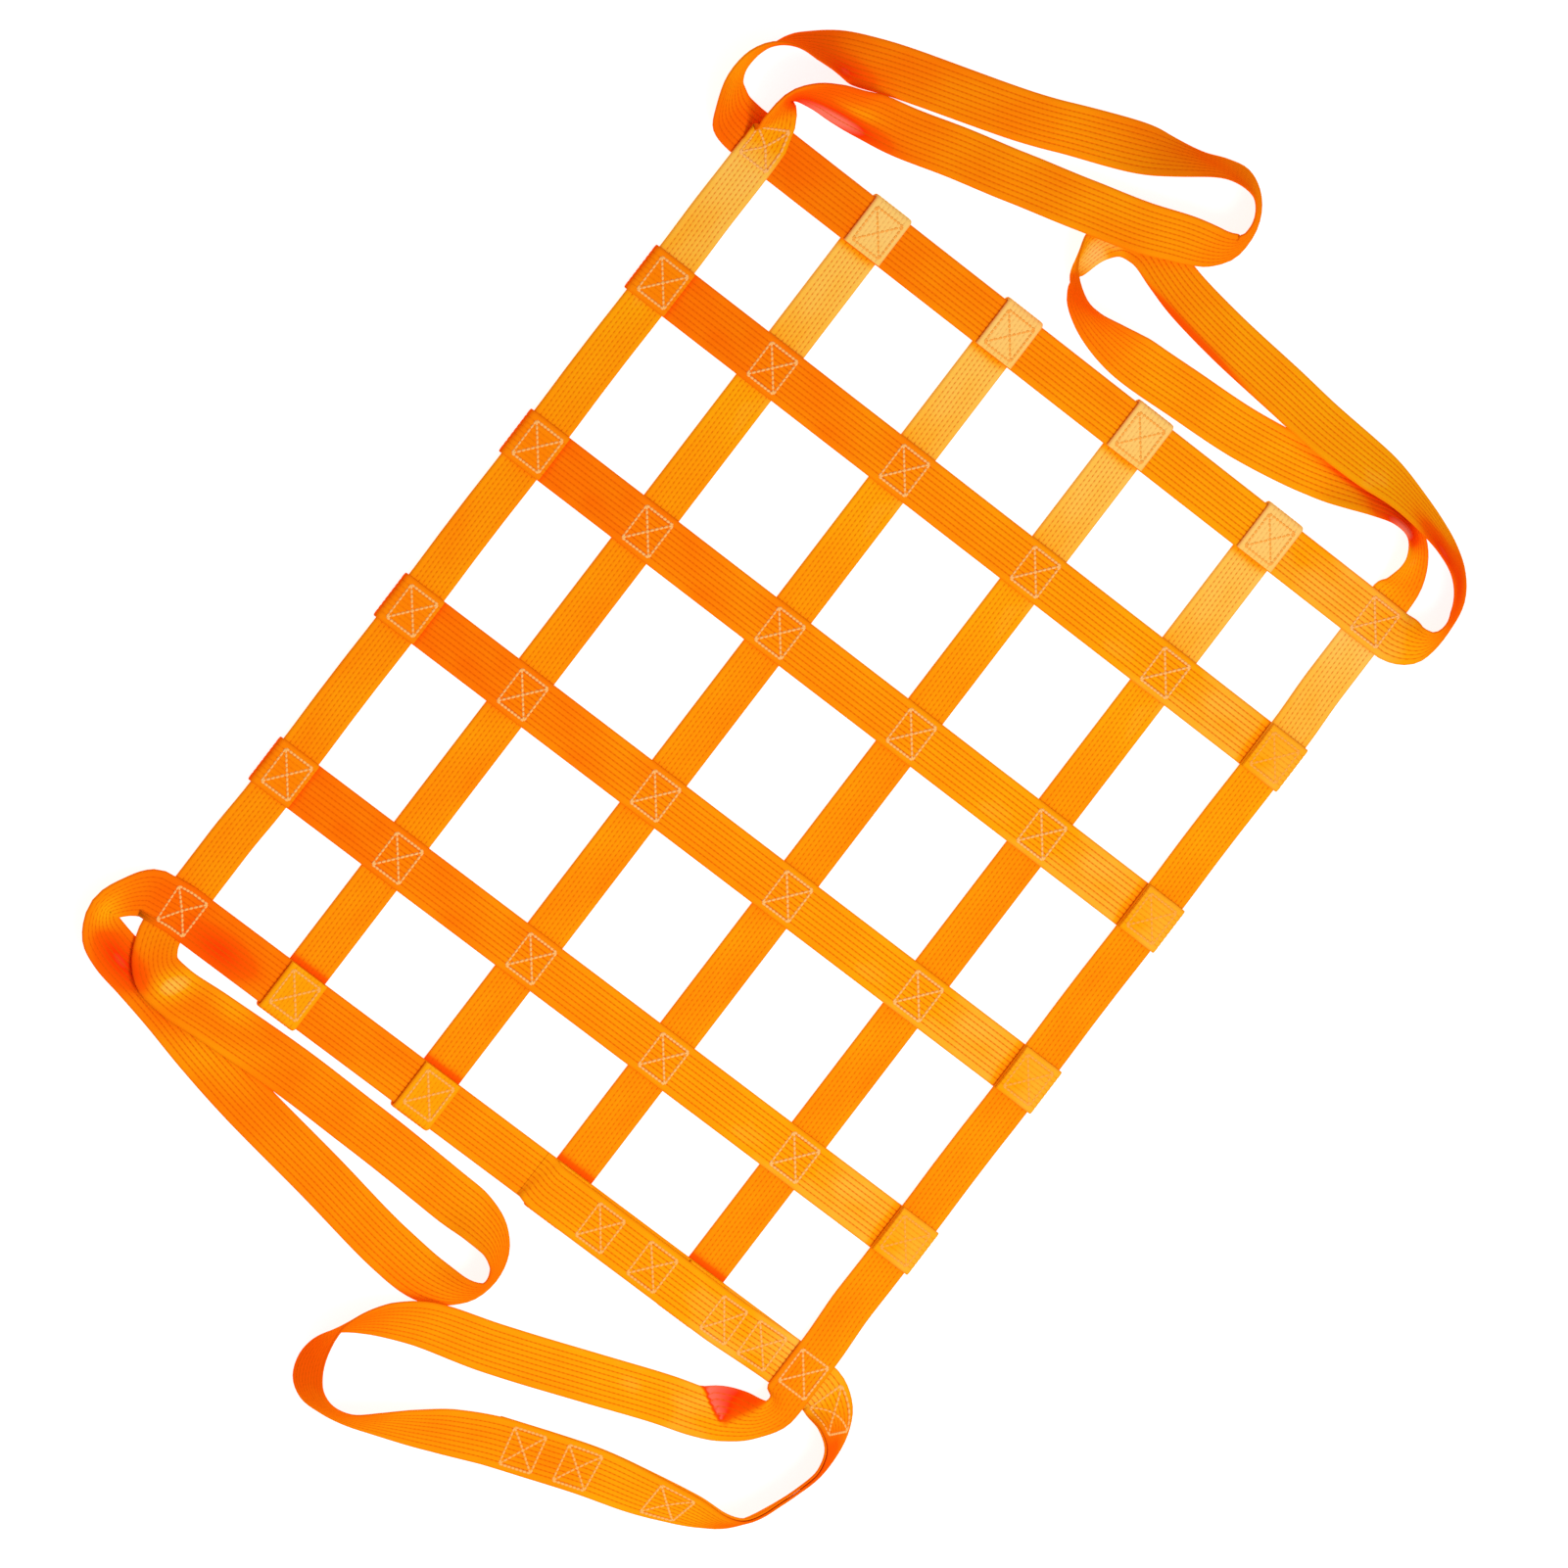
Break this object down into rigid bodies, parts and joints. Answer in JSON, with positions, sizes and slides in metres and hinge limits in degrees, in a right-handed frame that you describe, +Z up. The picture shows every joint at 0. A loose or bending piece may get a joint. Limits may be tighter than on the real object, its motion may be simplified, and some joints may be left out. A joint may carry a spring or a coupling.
{
  "type": "cargo lifting net",
  "caption": "Square cargo net of flat orange webbing lying on the ground, with cross straps sewn inside an edge belt and a long lifting loop at every corner.",
  "frame": {"origin": "centre of the bounding box, on the ground under the net", "axes": "+X along the straps that lie on top, +Y along the straps under them and towards the edge whose loops lie one over the other, +Z up"},
  "size_m": [1.0934, 1.4595, 0.05],
  "materials": {
    "belt_webbing": "woven polyester, matt",
    "x_strap_webbing": "woven polyester, matt",
    "y_strap_webbing": "woven polyester, matt"
  },
  "bodies": {
    "root": {"perimeter_belt": "belt_webbing", "x_strap_1": "x_strap_webbing", "x_strap_2": "x_strap_webbing", "x_strap_3": "x_strap_webbing", "x_strap_4": "x_strap_webbing", "y_strap_1": "y_strap_webbing", "y_strap_2": "y_strap_webbing", "y_strap_3": "y_strap_webbing", "y_strap_4": "y_strap_webbing"}
  },
  "joints": []
}
